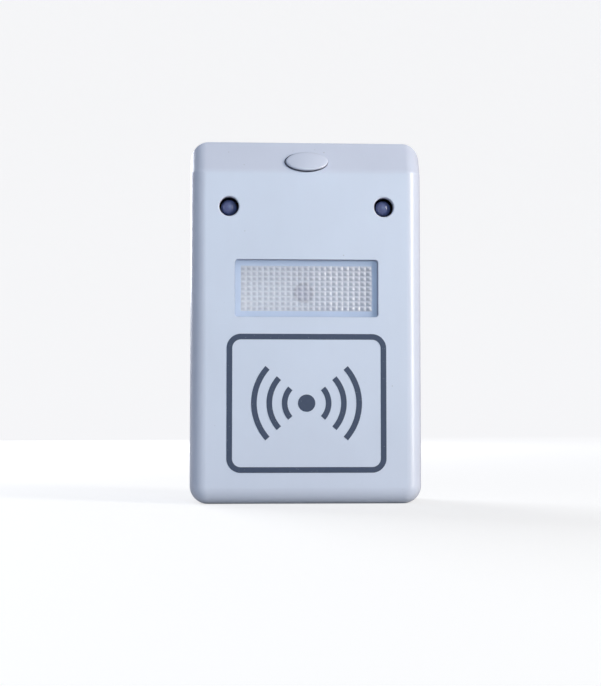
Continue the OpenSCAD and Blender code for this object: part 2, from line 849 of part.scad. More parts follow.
module electrolytic_capacitors() {
    crimp_d = 0.4;
    crimp_z = 1.5;
    crimp_h = 0.8;
    color("#2f3a5f") facing() for (i = [0, 1]) {
        translate([can_ats[i].x, can_ats[i].y, board_z]) difference() {
            cylinder(r = can_rs[i], h = can_hs[i]);
            translate([0, 0, crimp_z]) difference() {
                cylinder(r = can_rs[i] + cut, h = crimp_h);
                translate([0, 0, -cut]) cylinder(r = can_rs[i] - crimp_d, h = crimp_h + 2 * cut);
            }
        }
        for (at = pair(can_ats[i], can_pitch)) lead(at, root);
    }
}

module varistor() {
    stand = 1;
    coat_h = stand + varistor_r - 1;    // the coating runs down the leads to the board
    color("#2b5fa8") facing() {
        translate([varistor_at.x, varistor_at.y + varistor_t / 2, board_z + stand + varistor_r])
            rotate([90, 0, 0]) cylinder(r = varistor_r, h = varistor_t);
        for (at = pair(varistor_at, varistor_pitch)) {
            lead(at, coat_h);
            translate([at.x, at.y, board_z]) cylinder(r = 2 * lead_r, h = coat_h);
        }
    }
}

module fuse() {
    color("#6b3b2a") facing() {
        translate([fuse_at.x, fuse_at.y, board_z]) cylinder(r = fuse_r, h = fuse_h);
        for (at = pair(fuse_at, fuse_pitch)) lead(at, root);
    }
}

module timer_chip() {
    stand = 0.4;
    leg_w = 1.3;
    leg_t = 0.3;
    bend_z = stand + chip_size.z / 2;
    gap = (chip_row - chip_size.y) / 2;
    color(black) facing() {
        translate([chip_at.x, chip_at.y, board_z + stand]) block(chip_size);
        for (at = chip_leads_at) let (inwards = sign(chip_at.y - at.y)) {
            lead(at, bend_z);
            translate([at.x, at.y, board_z]) block([leg_w, leg_t, bend_z]);
            translate([at.x, at.y + inwards * gap / 2, board_z + bend_z - leg_t])
                block([leg_w, gap + leg_t, leg_t]);
        }
    }
}

module triac() {
    stand = 3;
    leg_w = 1.2;
    hole_d = 3.6;
    color("#3a3a40") facing() {
        translate([triac_at.x, triac_at.y, board_z + stand]) {
            block(triac_size);
            translate([0, (triac_size.y - triac_tab.y) / 2, 0]) difference() {
                block(triac_tab);
                translate([0, triac_tab.y, (triac_size.z + triac_tab.z) / 2]) rotate([90, 0, 0])
                    cylinder(d = hole_d, h = 2 * triac_tab.y);
            }
        }
        for (at = triac_leads_at) {
            lead(at, stand + root);
            translate([at.x, at.y, board_z]) block([leg_w, 2 * lead_r, stand + root]);
        }
    }
}

// ---- Pulse coil ----

module coil_bobbin() {
    color("#3c4046") facing() translate([coil_at.x, coil_at.y, board_z]) difference() {
        union() {
            for (z = [0, coil_h - coil_flange]) translate([0, 0, z]) cylinder(r = coil_r, h = coil_flange);
            cylinder(r = hub_r, h = coil_h);
        }
        translate([0, 0, coil_flange]) cylinder(r = core_r + snug, h = coil_h);
        for (side = [-1, 1]) translate([side * (coil_r - coil_pin_in), 0, -cut])
            cylinder(r = lead_r + snug, h = coil_flange / 2 + cut);
    }
}

module coil_winding() {
    winding_r = coil_r - 0.7;
    color("#b5652c") facing() translate([coil_at.x, coil_at.y, board_z + coil_flange]) difference() {
        cylinder(r = winding_r, h = coil_h - 2 * coil_flange - snug);
        translate([0, 0, -cut]) cylinder(r = hub_r + snug, h = coil_h);
    }
    color(plated) facing() for (at = coil_pins_at) lead(at, (coil_flange - snug) / 2);
}

module coil_core() {
    color("#4a4a4c") facing() translate([coil_at.x, coil_at.y, board_z + coil_flange])
        cylinder(r = core_r, h = coil_h - coil_flange + core_proud);
}

// ---- Sounder ----

// Places what is drawn along the sounder's axis, from its mouth upwards
module at_sounder() {
    facing() translate([0, sounder_mouth, sounder_z]) rotate([-90, 0, 0]) children();
}

module sounder_housing() {
    seat_w = 0.7;
    seat_r = sounder_r - sounder_wall - seat_w;
    color("#2c2f36") at_sounder() difference() {
        cylinder(r = sounder_r, h = sounder_l);
        translate([0, 0, -cut]) cylinder(r = sounder_r - sounder_wall, h = piezo_depth + piezo_t + cut);
        translate([0, 0, piezo_depth]) cylinder(r = seat_r, h = sounder_l - piezo_depth - sounder_wall);
    }
}

module piezo_plate() {
    color(brass) at_sounder() translate([0, 0, piezo_depth])
        cylinder(r = sounder_r - sounder_wall - snug / 2, h = piezo_t);
}

module piezo_ceramic() {
    share = 0.62;                       // of the sounder's radius
    color("#dcdfe0") at_sounder() translate([0, 0, piezo_depth - ceramic_t])
        cylinder(r = share * sounder_r, h = ceramic_t);
}

module sounder_wires() {
    top = sounder_mouth + sounder_l;
    exit_x = 3;
    land = [11, board_bottom + 3];
    land_x = 5;
    reach = 4;
    insulation_r = 0.6;
    color("#b23a34") facing() for (side = [-1, 1]) let (x = land.x + side * land_x) swept(curve([
        [side * exit_x, top, sounder_z], [side * exit_x, top + reach, sounder_z],
        [x, land.y, board_z + 2 * reach], [x, land.y, board_z]
    ], 12), insulation_r, 8);
}

// ---- Plug ----

module blade() {
    tip_w = 3.4;
    tip_l = 1.8;
    facing() rotate([90, 0, 90]) translate([0, 0, -blade_t / 2]) difference() {
        linear_extrude(blade_t) polygon([
            [-tip_w / 2, -blade_l], [tip_w / 2, -blade_l], [blade_w / 2, tip_l - blade_l],
            [blade_w / 2, pad_top - shoulder_t], [shoulder_w / 2, pad_top - shoulder_t],
            [shoulder_w / 2, pad_top], [blade_w / 2, pad_top], [blade_w / 2, tab_top],
            [-blade_w / 2, tab_top], [-blade_w / 2, pad_top], [-shoulder_w / 2, pad_top],
            [-shoulder_w / 2, pad_top - shoulder_t], [-blade_w / 2, pad_top - shoulder_t],
            [-blade_w / 2, tip_l - blade_l]
        ]);
        translate([0, -blade_hole_at, -cut]) cylinder(d = blade_hole_d, h = blade_t + 2 * cut);
    }
}

module live_blade() {
    color(brass) translate([blade_spacing / 2, 0, 0]) blade();
}

module neutral_blade() {
    color(brass) translate([-blade_spacing / 2, 0, 0]) blade();
}

module blade_retainer() {
    color("#8b8f96") facing() translate([0, 0, pad_top]) difference() {
        block([retainer_size.x, retainer_size.y, retainer_t]);
        both_sides() translate([blade_spacing / 2, 0, -cut])
            block([blade_t + 2 * fit, blade_w + 2 * fit, retainer_t + 2 * cut]);
        both_sides() translate([retainer_screw_x, 0, -cut])
            cylinder(r = retainer_screw[0] + fit, h = retainer_t + 2 * cut);
    }
}

module retainer_screws() {
    color(plated) facing() both_sides() translate([retainer_screw_x, 0, pad_top + retainer_t])
        mirror([0, 0, 1]) screw(retainer_screw);
}

// Insulated wire from the side of a blade's tab to the back of the board
module mains_wire() {
    start_x = (blade_spacing + blade_t) / 2;
    tab_z = (pad_top + retainer_t + tab_top) / 2;
    land = [16, window_y + 17.5];
    reach = 7;
    facing() swept(curve([
        [start_x, 0, tab_z], [start_x + reach, 0, tab_z],
        [land.x, land.y, board_back - reach], [land.x, land.y, board_back]
    ], 16), wire_r, 10);
}

module live_wire() {
    color("#3a3a3a") mains_wire();
}

module neutral_wire() {
    color("#ececec") mirror([1, 0, 0]) mains_wire();
}

front_cover();
rear_cover();
night_light_lens();
light_reflector();
printed_emblem();
button_cap();
switch_body();
switch_plunger();
switch_spring();
switch_pins();
power_led();
pulse_led();
night_light_led();
led_leads();
led_spacers();
circuit_board();
solder_joints();
film_capacitor();
electrolytic_capacitors();
rectifier_diodes();
resistors();
varistor();
fuse();
timer_chip();
triac();
coil_bobbin();
coil_winding();
coil_core();
sounder_housing();
piezo_plate();
piezo_ceramic();
sounder_wires();
live_blade();
neutral_blade();
blade_retainer();
retainer_screws();
cover_screws();
board_screws();
live_wire();
neutral_wire();
rating_label();
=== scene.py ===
"""Looks for a plug-in pest repeller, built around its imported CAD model.

The case, plug and inner parts keep their CAD shapes and get procedural materials. The lens,
the button's cap and the three lamps are remade with the fine shapes that the CAD leaves out.
Metres throughout; +Z is up and the front faces -Y.
"""

import math

import bmesh
import bpy
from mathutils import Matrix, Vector


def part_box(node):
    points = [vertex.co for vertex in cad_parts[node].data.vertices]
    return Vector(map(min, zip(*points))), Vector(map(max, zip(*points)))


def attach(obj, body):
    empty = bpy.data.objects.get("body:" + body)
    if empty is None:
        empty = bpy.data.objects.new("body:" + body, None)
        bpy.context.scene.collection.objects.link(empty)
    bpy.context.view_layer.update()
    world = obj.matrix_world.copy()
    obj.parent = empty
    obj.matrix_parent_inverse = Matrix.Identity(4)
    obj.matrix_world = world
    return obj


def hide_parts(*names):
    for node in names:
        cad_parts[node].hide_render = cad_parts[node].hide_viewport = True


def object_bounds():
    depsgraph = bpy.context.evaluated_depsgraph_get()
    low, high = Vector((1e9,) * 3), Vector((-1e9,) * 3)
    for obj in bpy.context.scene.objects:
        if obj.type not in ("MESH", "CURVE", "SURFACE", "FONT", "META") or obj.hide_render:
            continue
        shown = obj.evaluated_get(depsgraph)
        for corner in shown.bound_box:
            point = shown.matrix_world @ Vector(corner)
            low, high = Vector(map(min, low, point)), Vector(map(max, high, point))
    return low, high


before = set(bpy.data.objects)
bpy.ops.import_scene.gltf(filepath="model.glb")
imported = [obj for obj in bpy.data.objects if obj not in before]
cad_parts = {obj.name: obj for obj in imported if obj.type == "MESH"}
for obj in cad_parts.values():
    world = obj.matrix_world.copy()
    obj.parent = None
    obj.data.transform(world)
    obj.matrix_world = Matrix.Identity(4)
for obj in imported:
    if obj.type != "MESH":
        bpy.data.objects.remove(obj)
cad_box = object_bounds()
MM = 0.001

# Sizes that part.scad gives the remade pieces
BEVEL_H = 9.5 * MM
BEVEL_D = 5.5 * MM
WALL = 2 * MM
CAP_SIZE = (12.8 * MM, 6.2 * MM)
CAP_PROUD = 1.5 * MM
CAP_CROWN_R = 30 * MM
CAP_SKIRT = 3 * MM
EAR_T = 1 * MM
EAR_GAP = 0.3 * MM
STEM_R = 2.7 * MM
LENS_FLANGE = 1.6 * MM
LENS_FLANGE_T = 1.5 * MM
LENS_GAP = 0.15 * MM
LED_R = 2.5 * MM
LED_FLANGE_T = 1 * MM

# Sizes that only the remade pieces have
CAP_RIM_R = 0.55 * MM
LENS_BORDER = 1.75 * MM
PRISM_COLUMNS, PRISM_ROWS = 23, 9
PRISM_H = 0.34 * MM
PRISM_STEPS = 6
LED_ROUNDING = 0.15 * MM
LED_LEAD_PITCH = 2.54 * MM
LED_CUP_DEPTH = 4.1 * MM


# ---- Node materials ----


class Look:
    """A procedural material being put together. Methods add nodes and return sockets."""

    def __init__(self, name):
        self.material = bpy.data.materials.new(name)
        self.material.use_nodes = True
        self.tree = self.material.node_tree
        self.shader = self.tree.nodes["Principled BSDF"]
        self.place = self.add("ShaderNodeTexCoord").outputs["Object"]

    def feed(self, socket, value):
        """Links a socket to value if that is a socket too, and sets it otherwise."""
        if isinstance(value, bpy.types.NodeSocket):
            self.tree.links.new(value, socket)
        elif socket.type == "RGBA" and len(value) == 3:
            socket.default_value = (*value, 1)
        else:
            socket.default_value = value

    def add(self, kind, inputs=None, **settings):
        node = self.tree.nodes.new(kind)
        for key, value in settings.items():
            setattr(node, key, value)
        for key, value in (inputs or {}).items():
            self.feed(node.inputs[key], value)
        return node

    def set(self, **inputs):
        """Feeds the shader: base_color feeds Base Color, and so on."""
        for key, value in inputs.items():
            words = ["IOR" if word == "ior" else word.capitalize() for word in key.split("_")]
            self.feed(self.shader.inputs[" ".join(words)], value)

    def stretched(self, x, y, z):
        """Coordinates in which a texture is that many times longer along each axis."""
        scale = (1 / x, 1 / y, 1 / z)
        return self.add("ShaderNodeMapping", {"Vector": self.place, "Scale": scale}).outputs[0]

    def noise(self, size, detail=2.0, rough=0.5, at=None):
        """Noise whose features are about size metres across."""
        inputs = {"Vector": at or self.place, "Scale": 1 / size}
        inputs.update({"Detail": detail, "Roughness": rough})
        return self.add("ShaderNodeTexNoise", inputs).outputs["Fac"]

    def cells(self, size):
        """Distance from the middles of random cells about size metres across."""
        inputs = {"Vector": self.place, "Scale": 1 / size}
        return self.add("ShaderNodeTexVoronoi", inputs).outputs["Distance"]

    def axis(self, name):
        return self.add("ShaderNodeSeparateXYZ", {"Vector": self.place}).outputs[name]

    def calc(self, operation, a, b=0.0):
        return self.add("ShaderNodeMath", {0: a, 1: b}, operation=operation).outputs[0]

    def span(self, value, low, high, to_low=0.0, to_high=1.0):
        """Value spread from low..high over to_low..to_high, and held at the ends."""
        inputs = {0: value, 1: low, 2: high, 3: to_low, 4: to_high}
        return self.add("ShaderNodeMapRange", inputs).outputs[0]

    def within(self, value, middle, half, soft):
        """1 where value is within half of middle, 0 beyond, with a soft border."""
        off = self.calc("ABSOLUTE", self.calc("SUBTRACT", value, middle))
        return self.span(off, half, half + soft, 1.0, 0.0)

    def mix(self, factor, a, b):
        """Colour mix of a and b."""
        node = self.add("ShaderNodeMix", data_type="RGBA")
        self.feed(node.inputs[0], factor)
        self.feed(node.inputs[6], a)
        self.feed(node.inputs[7], b)
        return node.outputs[2]

    def blend(self, factor, a, b):
        """Number mix of a and b."""
        node = self.add("ShaderNodeMix", {0: factor}, data_type="FLOAT")
        self.feed(node.inputs[2], a)
        self.feed(node.inputs[3], b)
        return node.outputs[0]

    def softened(self, radius):
        """Normals as if edges were rounded by radius."""
        return self.add("ShaderNodeBevel", {"Radius": radius}, samples=6).outputs[0]

    def edges(self, radius):
        """1 along sharp edges, 0 on open faces."""
        normals = {0: self.softened(radius)}
        normals[1] = self.add("ShaderNodeNewGeometry").outputs["Normal"]
        dot = self.add("ShaderNodeVectorMath", normals, operation="DOT_PRODUCT")
        return self.span(dot.outputs["Value"], 0.995, 0.85)

    def bump(self, height, distance, normal=None):
        inputs = {"Height": height, "Distance": distance, "Strength": 1.0}
        if normal is not None:
            inputs["Normal"] = normal
        return self.add("ShaderNodeBump", inputs).outputs[0]


def tint(colour, factor):
    return tuple(min(1.0, c * factor) for c in colour)


def case_plastic():
    """Satin ABS: fine spark-eroded grain, faint clouding, polished edges and a few scuffs."""
    look = Look("case_white")
    white = (0.668, 0.690, 0.815)
    clouds = look.noise(22 * MM, 3)
    grain = look.noise(0.16 * MM, 2, 0.6)
    flow = look.noise(2.2 * MM, 4, 0.6, look.stretched(1, 1, 6))
    scuffs = look.span(look.noise(1.1 * MM, 5, 0.7, look.stretched(7, 1, 1)), 0.66, 0.74)
    specks = look.span(look.cells(3.1 * MM), 0.075, 0.045)
    rare = look.span(look.noise(7 * MM, 1), 0.6, 0.66)
    specks = look.calc("MULTIPLY", specks, rare)
    worn = look.edges(0.5 * MM)
    colour = look.mix(clouds, tint(white, 0.955), tint(white, 1.045))
    colour = look.mix(look.calc("MULTIPLY", flow, 0.10), colour, tint(white, 0.86))
    colour = look.mix(look.calc("MULTIPLY", scuffs, 0.18), colour, tint(white, 1.2))
    colour = look.mix(look.calc("MULTIPLY", worn, 0.30), colour, tint(white, 1.14))
    colour = look.mix(look.calc("MULTIPLY", specks, 0.45), colour, (0.30, 0.27, 0.25))
    roughness = look.span(flow, 0.3, 0.7, 0.30, 0.40)
    roughness = look.blend(look.calc("MULTIPLY", scuffs, 0.6), roughness, 0.55)
    roughness = look.blend(look.calc("MULTIPLY", worn, 0.5), roughness, 0.22)
    normal = look.bump(grain, 0.007 * MM, look.softened(0.28 * MM))
    normal = look.bump(clouds, 0.10 * MM, normal)
    look.set(base_color=colour, roughness=roughness, normal=normal, ior=1.53)
    look.set(coat_weight=0.25, coat_roughness=0.18)
    return look.material


def moulded(name, colour, roughness=0.45, grain=0.25 * MM, depth=0.006 * MM, rim=1.5):
    """Moulded plastic with a fine grain, mould flow, dust and lighter worn edges."""
    look = Look(name)
    clouds = look.noise(5 * MM, 3)
    flow = look.noise(1.2 * MM, 4, 0.6, look.stretched(1, 3, 1))
    dust = look.span(look.noise(0.5 * MM, 4, 0.8), 0.62, 0.75)
    worn = look.edges(0.18 * MM)
    shade = look.mix(clouds, tint(colour, 0.86), tint(colour, 1.14))
    shade = look.mix(look.calc("MULTIPLY", dust, 0.12), shade, (0.42, 0.40, 0.37))
    shade = look.mix(look.calc("MULTIPLY", worn, 0.5), shade, tint(colour, rim))
    normal = look.bump(look.noise(grain, 2), depth, look.softened(0.12 * MM))
    roughness = look.span(flow, 0.3, 0.7, roughness - 0.06, roughness + 0.08)
    look.set(base_color=shade, roughness=roughness, normal=normal)
    return look.material


def metal(name, colour, roughness, along=(1, 1, 1), tarnish=(0.25, 0.19, 0.13)):
    """Rolled or plated metal: fine drawing lines, small pits, tarnish and bright edges."""
    look = Look(name)
    lines = look.noise(0.07 * MM, 4, 0.7, look.stretched(*along))
    clouds = look.noise(3 * MM, 4, 0.6)
    pits = look.span(look.cells(0.8 * MM), 0.16, 0.05)
    stain = look.span(look.noise(1.6 * MM, 5, 0.65), 0.54, 0.72)
    worn = look.edges(0.14 * MM)
    shade = look.mix(clouds, tint(colour, 0.86), tint(colour, 1.1))
    shade = look.mix(look.calc("MULTIPLY", stain, 0.35), shade, tint(tarnish, 1.6))
    shade = look.mix(look.calc("MULTIPLY", worn, 0.6), shade, tint(colour, 1.3))
    rough = look.span(lines, 0.25, 0.75, roughness - 0.08, roughness + 0.1)
    rough = look.blend(look.calc("MULTIPLY", stain, 0.5), rough, roughness + 0.25)
    normal = look.bump(lines, 0.004 * MM, look.softened(0.12 * MM))
    normal = look.bump(pits, -0.006 * MM, normal)
    look.set(base_color=shade, roughness=rough, normal=normal, metallic=1.0)
    return look.material


def clear_plastic(name, colour, roughness, ior, **body):
    """Clear moulding with faint clouding, flow lines and handling haze."""
    look = Look(name)
    haze = look.noise(4 * MM, 4, 0.6)
    swirl = look.noise(0.9 * MM, 3, 0.5, look.stretched(3, 1, 1))
    shade = look.mix(haze, tint(colour, 0.94), tint(colour, 1.04))
    rough = look.span(haze, 0.3, 0.7, roughness * 0.7, roughness * 1.4)
    normal = look.bump(swirl, 0.006 * MM)
    look.set(base_color=shade, roughness=rough, normal=normal, ior=ior, **body)
    return look.material


def prism_acrylic(centre, field, pitch):
    """Clear acrylic whose prisms scatter most light where they meet, with painted shade: a darker,
    bluer flat border and a darker dash low on the left of each prism.

    The prism field is field = (width, height) round centre, and pitch is the size of a prism.
    """
    look = Look("lens_clear")
    # Painted shade: the clear spots sit off the prisms' middles, down and to the left, so each
    # prism shows a darker dash there.
    off_middle = 0.12
    haze = look.noise(4 * MM, 4, 0.6)
    ripples = 1.0
    inside = 1.0
    for name, middle, size, step in zip("XZ", (centre.x, centre.z), field, pitch):
        start = middle - size / 2 - off_middle * step
        phase = look.calc("MULTIPLY", look.calc("SUBTRACT", look.axis(name), start), math.pi / step)
        ripples = look.calc("MULTIPLY", look.calc("ABSOLUTE", look.calc("SINE", phase)), ripples)
        on_field = look.within(look.axis(name), middle, size / 2, 0.1 * MM)
        inside = look.calc("MULTIPLY", on_field, inside)
    clearness = look.calc("MULTIPLY", look.span(ripples, 0.25, 1.0), inside)
    shade = look.mix(haze, (0.88, 0.87, 1.0), (0.94, 0.92, 1.0))
    # Painted shade: the flat border is tinted darker and bluer, like the shadow of the window's
    # recess.
    shade = look.mix(inside, (0.66, 0.74, 0.97), shade)
    rough = look.span(haze, 0.3, 0.7, 0.06, 0.12)
    look.set(base_color=shade, roughness=rough, ior=1.49, normal=look.bump(haze, 0.01 * MM))
    look.set(alpha=look.blend(inside, 0.55, look.blend(clearness, 0.42, 0.28)))
    return look.material


def printing_ink():
    """Pad-printed ink: a thin uneven film with pinholes, ragged shine and light rubbing."""
    look = Look("ink")
    slate = (0.048, 0.062, 0.115)
    film = look.noise(1.6 * MM, 5, 0.6)
    thin = look.span(look.noise(0.28 * MM, 3, 0.7), 0.60, 0.74)
    pinholes = look.span(look.cells(0.9 * MM), 0.09, 0.05)
    shade = look.mix(film, tint(slate, 0.78), tint(slate, 1.25))
    shade = look.mix(look.calc("MULTIPLY", thin, 0.4), shade, (0.11, 0.13, 0.20))
    shade = look.mix(look.calc("MULTIPLY", pinholes, 0.7), shade, (0.50, 0.55, 0.66))
    rough = look.span(film, 0.3, 0.7, 0.42, 0.62)
    look.set(base_color=shade, roughness=rough, normal=look.bump(film, 0.01 * MM))
    return look.material


def label_paper():
    """Coated label stock with fibre, a printed border and one blank tinted panel."""
    look = Look("label_white")
    low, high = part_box("rating_label")
    middle = (low + high) / 2
    half = (high - low) / 2
    border = 1.3 * MM
    line = 0.14 * MM
    fibre = look.noise(0.35 * MM, 5, 0.7, look.stretched(1, 1, 2.5))
    off_x = look.calc("ABSOLUTE", look.calc("SUBTRACT", look.axis("X"), middle.x))
    off_z = look.calc("ABSOLUTE", look.calc("SUBTRACT", look.axis("Z"), middle.z))
    from_edge = look.calc(
        "MINIMUM", look.calc("SUBTRACT", half.x, off_x), look.calc("SUBTRACT", half.z, off_z)
    )
    printed = look.within(from_edge, border, line, 0.03 * MM)
    panel = look.calc(
        "MULTIPLY", look.within(off_x, 0, half.x - 2 * border, 0.03 * MM),
        look.within(look.axis("Z"), middle.z - half.z * 0.45, half.z * 0.28, 0.03 * MM),
    )
    paper = look.mix(fibre, (0.70, 0.71, 0.72), (0.80, 0.81, 0.82))
    paper = look.mix(look.calc("MULTIPLY", panel, 0.8), paper, (0.50, 0.54, 0.60))
    shade = look.mix(printed, paper, (0.09, 0.10, 0.13))
    rough = look.span(fibre, 0.3, 0.7, 0.45, 0.62)
    look.set(base_color=shade, roughness=rough, normal=look.bump(fibre, 0.012 * MM))
    return look.material


def board_laminate():
    """Phenolic-paper board: tan, fibrous, darker on its cut edges and greasy with flux."""
    look = Look("board_laminate")
    tan = (0.36, 0.22, 0.085)
    fibre = look.noise(0.3 * MM, 6, 0.7, look.stretched(1, 1, 7))
    clouds = look.noise(9 * MM, 4)
    flux = look.span(look.noise(3.5 * MM, 4, 0.6), 0.52, 0.68)
    cut = look.edges(0.4 * MM)
    shade = look.mix(fibre, tint(tan, 0.75), tint(tan, 1.2))
    shade = look.mix(look.calc("MULTIPLY", clouds, 0.3), shade, tint(tan, 0.7))
    shade = look.mix(look.calc("MULTIPLY", flux, 0.3), shade, (0.30, 0.16, 0.045))
    shade = look.mix(look.calc("MULTIPLY", cut, 0.5), shade, tint(tan, 0.5))
    rough = look.blend(flux, 0.55, 0.22)
    look.set(base_color=shade, roughness=rough, normal=look.bump(fibre, 0.01 * MM))
    return look.material


def copper_winding():
    """Enamelled wire wound side by side: round turns across the coil's axis, the grooves between
    them darkened as painted shade.
    """
    look = Look("copper_wire")
    turn = 0.28 * MM
    phase = look.calc("MULTIPLY", look.axis("Y"), math.tau / turn)
    turns = look.calc("SINE", look.calc("ADD", phase, look.noise(2 * MM, 2)))
    tone = look.noise(1.4 * MM, 3, 0.6, look.stretched(1, 0.2, 1))
    shade = look.mix(tone, (0.30, 0.085, 0.022), (0.62, 0.24, 0.085))
    # Painted shade: the grooves between turns are darkened towards near black.
    shade = look.mix(look.span(turns, -0.4, -1.0), shade, (0.07, 0.02, 0.008))
    normal = look.bump(turns, 0.06 * MM)
    look.set(base_color=shade, roughness=0.28, normal=normal, metallic=0.75, coat_weight=0.5)
    return look.material


def sintered(name, colour, roughness):
    """Ferrite or fired ceramic: fine crystals, chips on the edges and small pores, darkened as
    painted shade.
    """
    look = Look(name)
    crystals = look.noise(0.12 * MM, 4, 0.75)
    pores = look.span(look.cells(0.45 * MM), 0.14, 0.05)
    patches = look.span(look.noise(0.7 * MM, 3), 0.5, 0.6)
    chips = look.calc("MULTIPLY", look.edges(0.35 * MM), patches)
    shade = look.mix(crystals, tint(colour, 0.7), tint(colour, 1.3))
    shade = look.mix(look.calc("MULTIPLY", chips, 0.6), shade, tint(colour, 2.2))
    # Painted shade: the pores are darkened to a fraction of the body colour.
    shade = look.mix(look.calc("MULTIPLY", pores, 0.5), shade, tint(colour, 0.4))
    rough = look.span(crystals, 0.3, 0.7, roughness, roughness + 0.15)
    normal = look.bump(look.calc("SUBTRACT", crystals, pores), 0.015 * MM)
    look.set(base_color=shade, roughness=rough, normal=normal)
    return look.material


def with_leads(name, colour, roughness, metal_mask, bands=None, glossy=0.0):
    """Component body whose leads are bare tinned metal.

    metal_mask(look) returns 1 on the leads. bands(look) returns (mask, colour) pairs.
    """
    look = Look(name)
    clouds = look.noise(1.8 * MM, 4, 0.6)
    grain = look.noise(0.14 * MM, 3, 0.6)
    leads = metal_mask(look)
    shade = look.mix(clouds, tint(colour, 0.82), tint(colour, 1.18))
    for mask, band in bands(look) if bands else []:
        shade = look.mix(mask, shade, look.mix(clouds, tint(band, 0.85), tint(band, 1.1)))
    tinned = look.mix(clouds, (0.42, 0.43, 0.45), (0.66, 0.67, 0.69))
    rough = look.span(grain, 0.3, 0.7, roughness - 0.05, roughness + 0.07)
    look.set(base_color=look.mix(leads, shade, tinned), roughness=look.blend(leads, rough, 0.3))
    look.set(metallic=leads, normal=look.bump(grain, 0.006 * MM, look.softened(0.12 * MM)))
    look.set(coat_weight=glossy)
    return look.material


def stranded_insulation(name, colour):
    """PVC wire insulation: waxy, slightly creased, with dust."""
    look = Look(name)
    creases = look.noise(0.9 * MM, 3, 0.6, look.stretched(1, 1, 0.4))
    dust = look.span(look.noise(0.35 * MM, 4, 0.8), 0.6, 0.75)
    shade = look.mix(creases, tint(colour, 0.85), tint(colour, 1.15))
    shade = look.mix(look.calc("MULTIPLY", dust, 0.15), shade, (0.45, 0.43, 0.40))
    rough = look.span(creases, 0.3, 0.7, 0.32, 0.48)
    look.set(base_color=shade, roughness=rough, normal=look.bump(creases, 0.03 * MM))
    return look.material


# ---- Where a component's leads and bands are ----

BOARD_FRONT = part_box("circuit_board")[0].y


def below(y):
    """Mask of what lies behind the plane at y."""
    return lambda look: look.span(look.axis("Y"), y, y + 0.05 * MM)


def beyond_ends(node, half):
    """Mask of what lies more than half above or below the node's middle."""
    middle = sum(corner.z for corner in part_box(node)) / 2

    def mask(look):
        between = look.within(look.axis("Z"), middle, half, 0.05 * MM)
        return look.calc("SUBTRACT", 1.0, between)

    return mask


def bands_at(node, rings):
    """Bands round an upright body: rings holds (offset from the middle, half width, colour)."""
    middle = sum(corner.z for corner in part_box(node)) / 2

    def paint(look):
        return [
            (look.within(look.axis("Z"), middle + offset, half, 0.04 * MM), colour)
            for offset, half, colour in rings
        ]

    return paint


def can_marks(look):
    """Speckled aluminium top and a pale stripe down one side of the capacitors' sleeves."""
    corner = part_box("electrolytic_capacitors")[0]
    speckle = look.span(look.cells(0.2 * MM), 0.0, 1.0)
    top = look.within(look.axis("Y"), corner.y, 0.2 * MM, 0.05 * MM)
    stripe = look.within(look.axis("Z"), corner.z, 1.6 * MM, 0.1 * MM)
    return [(stripe, (0.45, 0.50, 0.60)), (look.calc("MULTIPLY", top, speckle), (0.6, 0.6, 0.62))]


# ---- Meshes ----


def mesh_piece(name, points, faces, material, body, smooth=True):
    """Piece made of points and faces, riding on a CAD body."""
    mesh = bpy.data.meshes.new(name)
    mesh.from_pydata([tuple(p) for p in points], [], faces)
    tidy = bmesh.new()
    tidy.from_mesh(mesh)
    bmesh.ops.remove_doubles(tidy, verts=tidy.verts, dist=1e-7)
    bmesh.ops.recalc_face_normals(tidy, faces=tidy.faces)
    tidy.to_mesh(mesh)
    tidy.free()
    mesh.materials.append(material)
    if smooth:
        mesh.shade_smooth()
    else:
        mesh.shade_flat()
    piece = bpy.data.objects.new(name, mesh)
    bpy.context.scene.collection.objects.link(piece)
    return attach(piece, body)


def loft(rings, closed_start=True, closed_end=True):
    """Points and faces of a skin over rings of equally many points."""
    count = len(rings[0])
    points = [p for ring in rings for p in ring]
    faces = []
    for i in range(len(rings) - 1):
        for j in range(count):
            k = (j + 1) % count
            faces.append((i * count + j, i * count + k, (i + 1) * count + k, (i + 1) * count + j))
    if closed_start:
        faces.append(tuple(range(count)))
    if closed_end:
        faces.append(tuple((len(rings) - 1) * count + j for j in reversed(range(count))))
    return points, faces


def join(parts):
    """Points and faces of several closed shells together."""
    points, faces = [], []
    for part_points, part_faces in parts:
        start = len(points)
        points += part_points
        faces += [tuple(start + i for i in face) for face in part_faces]
    return points, faces


def shell_block(low, high):
    """Points and faces of a block between two corners."""
    corners = [(low.x, low.z), (high.x, low.z), (high.x, high.z), (low.x, high.z)]
    return loft([[(x, y, z) for x, z in corners] for y in (low.y, high.y)])


def lathe(profile, centre, sides=48):
    """Skin of profile, a list of (radius, y), turned about a line along Y through centre."""
    rings = []
    for radius, y in profile:
        angles = [math.tau * j / sides for j in range(sides)]
        rings.append([
            (centre.x + radius * math.cos(a), y, centre.z + radius * math.sin(a)) for a in angles
        ])
    return loft(rings)


def oval_ring(centre, half_w, half_h, y_at, sides=96):
    """Ring round centre in X and Z, with its depth from y_at(x, z)."""
    ring = []
    for j in range(sides):
        x = half_w * math.cos(math.tau * j / sides)
        z = half_h * math.sin(math.tau * j / sides)
        ring.append((centre.x + x, y_at(x, z), centre.z + z))
    return ring


# ---- The button ----


